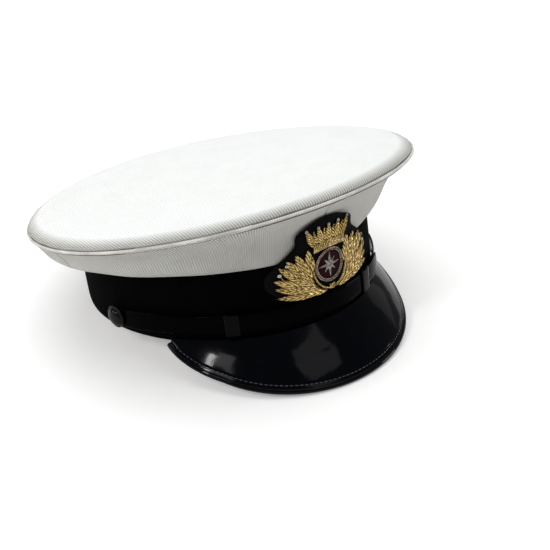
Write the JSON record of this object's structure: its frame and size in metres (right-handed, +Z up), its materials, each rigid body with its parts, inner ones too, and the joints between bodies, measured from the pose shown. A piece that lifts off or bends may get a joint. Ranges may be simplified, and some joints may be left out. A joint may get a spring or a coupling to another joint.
{
  "type": "military peaked cap",
  "caption": "Officer-style peaked cap: wide white crown on a wire, black band, glossy sloping peak, chin strap on side buttons and an embroidered front badge.",
  "frame": {"origin": "under the middle of the cap as it rests, on the surface that the peak edge and the back of the rim stand on", "axes": "+Z up, -Y towards the peak, +X towards the wearer's left"},
  "size_m": [0.2586, 0.2648, 0.1244],
  "materials": {
    "white_twill": "fine white cotton twill",
    "white_piping": "white twill over a cord",
    "black_mohair": "ribbed black mohair braid",
    "patent_peak": "high-gloss black patent leather",
    "patent_strap": "glossy black patent leather",
    "button_black": "glossy black moulded button",
    "steel_wire": "plain steel",
    "board": "plain fibre board",
    "stay_steel": "flat steel in a sleeve",
    "sweat_leather": "matte tan leather",
    "bow_ribbon": "black ribbon",
    "crown_lining": "off-white satin lining",
    "clear_vinyl": "clear flexible sheet",
    "peak_under": "dark green leather grain",
    "badge_felt": "black felt",
    "bullion_gold": "gold wire embroidery",
    "bullion_silver": "silver wire embroidery",
    "badge_ground": "dark crimson velvet"
  },
  "bodies": {
    "cap": {"crown_top": "white_twill", "side_panel_front_left": "white_twill", "side_panel_front_right": "white_twill", "side_panel_back_left": "white_twill", "side_panel_back_right": "white_twill", "crown_piping": "white_piping", "grommet_ring": "steel_wire", "crown_lining_top": "crown_lining", "crown_lining_side": "crown_lining", "sweat_shield": "clear_vinyl", "front_stay": "stay_steel", "cap_band": "black_mohair", "band_stiffener": "board", "rim_binding": "patent_strap", "sweatband": "sweat_leather", "sweatband_bow": "bow_ribbon", "peak_shell": "patent_peak", "peak_core": "board", "peak_lining": "peak_under", "peak_binding": "patent_peak", "badge_pad": "badge_felt", "badge_backing": "board", "badge_wreath_right": "bullion_gold", "badge_wreath_left": "bullion_gold", "badge_ground_velvet": "badge_ground", "badge_ring": "bullion_gold", "badge_emblem": "bullion_silver", "badge_crest": "bullion_gold"},
    "chin_strap": {"chin_strap_outer": "patent_strap", "chin_strap_inner": "patent_strap"},
    "keeper_right": {"strap_keeper_right": "patent_strap"},
    "keeper_left": {"strap_keeper_left": "patent_strap"},
    "button_right": {"side_button_right": "button_black", "washer_right": "steel_wire", "split_pin_right": "steel_wire"},
    "button_left": {"side_button_left": "button_black", "washer_left": "steel_wire", "split_pin_left": "steel_wire"}
  },
  "joints": [
    {"name": "strap_drop", "type": "hinge", "parent": "cap", "child": "chin_strap", "pos_m": [0, -0.00468, 0.0269], "axis": [1, 0, 0], "range_deg": [0, 1.2]},
    {"name": "keeper_right_slide", "type": "hinge", "parent": "chin_strap", "child": "keeper_right", "pos_m": [0, -0.01619, 0.0308], "axis": [0, 0.1361, 0.9907], "range_deg": [-2, 14]},
    {"name": "keeper_left_slide", "type": "hinge", "parent": "chin_strap", "child": "keeper_left", "pos_m": [0, -0.01619, 0.0308], "axis": [0, 0.1361, 0.9907], "range_deg": [-12, 16]},
    {"name": "button_right_turn", "type": "hinge", "parent": "cap", "child": "button_right", "pos_m": [-0.09164, -0.00468, 0.0269], "axis": [-0.9969, -0.0777, 0.0107], "continuous": true},
    {"name": "button_left_turn", "type": "hinge", "parent": "cap", "child": "button_left", "pos_m": [0.09164, -0.00468, 0.0269], "axis": [0.9969, -0.0777, 0.0107], "continuous": true}
  ]
}
